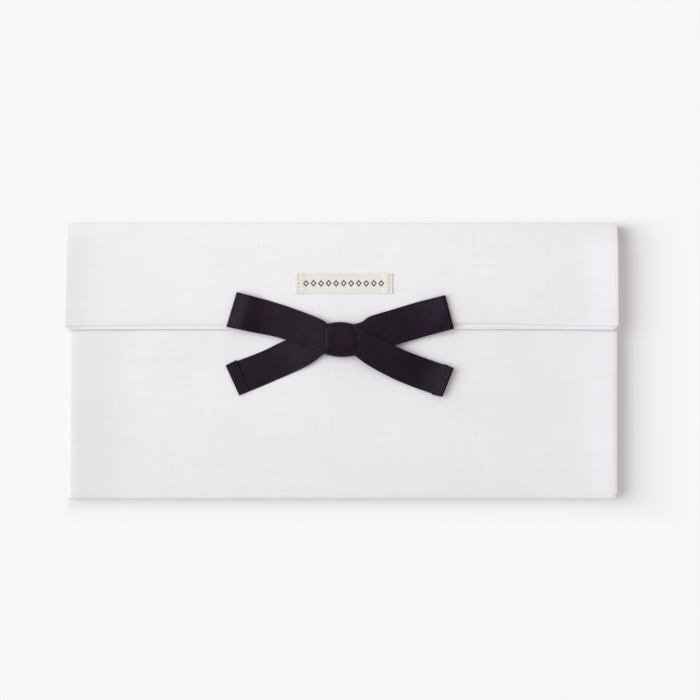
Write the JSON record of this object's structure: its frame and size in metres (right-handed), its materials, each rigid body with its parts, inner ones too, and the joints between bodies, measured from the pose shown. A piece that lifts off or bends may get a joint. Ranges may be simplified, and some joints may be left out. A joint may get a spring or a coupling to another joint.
{
  "type": "jewelry pouch",
  "caption": "Flat white cotton envelope pouch with a lined pocket, a fold-over flap, a plain woven label and a black ribbon bow tied over the flap's edge.",
  "frame": {"origin": "centre of the pouch's footprint on the surface it lies on, under its back panel", "axes": "+X across the pouch to the right, +Y up its front to the top fold, +Z out of its front"},
  "size_m": [0.25, 0.125, 0.0137],
  "materials": {
    "cotton_cloth": "white plain-weave cotton canvas, matt, with faint slubs",
    "interlining": "stiff non-woven felt",
    "lining_cloth": "fine white cotton lining, matt",
    "black_ribbon": "black woven ribbon with fine ribs and a soft sheen",
    "white_thread": "white polyester sewing thread",
    "black_thread": "black polyester sewing thread",
    "label_tape": "cream woven damask tape, matt"
  },
  "bodies": {
    "pouch": {"back_panel_outer": "cotton_cloth", "front_panel_outer": "cotton_cloth", "left_seam": "cotton_cloth", "right_seam": "cotton_cloth", "bottom_seam": "cotton_cloth", "back_interlining": "interlining", "front_interlining": "interlining", "back_lining": "lining_cloth", "front_lining": "lining_cloth", "seam_thread": "white_thread", "mouth_thread": "white_thread", "front_ribbon": "black_ribbon", "front_ribbon_thread": "black_thread"},
    "top_fold": {"fold_outer": "cotton_cloth", "fold_lining": "lining_cloth"},
    "flap": {"flap_outer": "cotton_cloth", "flap_interlining": "interlining", "flap_lining": "lining_cloth", "flap_edge_thread": "white_thread", "flap_ribbon_end": "black_ribbon", "label": "label_tape", "label_left_thread": "white_thread", "label_right_thread": "white_thread", "bow_knot": "black_ribbon", "knot_core": "black_ribbon", "left_tail_root": "black_ribbon", "right_loop_root_upper": "black_ribbon", "right_loop_root_lower": "black_ribbon"},
    "left_loop": {"left_loop": "black_ribbon"},
    "right_loop": {"right_loop": "black_ribbon"},
    "left_tail": {"left_tail": "black_ribbon", "left_tail_thread": "black_thread"},
    "right_tail": {"right_tail": "black_ribbon", "right_tail_thread": "black_thread"}
  },
  "joints": [
    {"name": "back_crease", "type": "hinge", "parent": "pouch", "child": "top_fold", "pos_m": [0, 0.0625, 0], "axis": [-1, 0, 0], "range_deg": [0, 90]},
    {"name": "front_crease", "type": "hinge", "parent": "top_fold", "child": "flap", "pos_m": [0, 0.0625, 0.0097], "axis": [-1, 0, 0], "range_deg": [0, 75]},
    {"name": "left_loop_lift", "type": "hinge", "parent": "flap", "child": "left_loop", "pos_m": [-0.009, 0.0104, 0.0122], "axis": [0, -1, 0], "range_deg": [-70, 0]},
    {"name": "right_loop_lift", "type": "hinge", "parent": "flap", "child": "right_loop", "pos_m": [0.0257, 0.01588, 0.0116], "axis": [-0.1122, 0.9937, 0], "range_deg": [-70, 0]},
    {"name": "left_tail_lift", "type": "hinge", "parent": "flap", "child": "left_tail", "pos_m": [-0.02601, 0.00104, 0.00949], "axis": [0.1788, -0.9839, 0], "range_deg": [-70, 0]},
    {"name": "right_tail_lift", "type": "hinge", "parent": "flap", "child": "right_tail", "pos_m": [0.0062, 0.0092, 0.0122], "axis": [0, 1, 0], "range_deg": [-70, 0]}
  ],
  "couplings": [
    {"joint": "front_crease", "follows": "back_crease", "ratio": 0.8333}
  ]
}
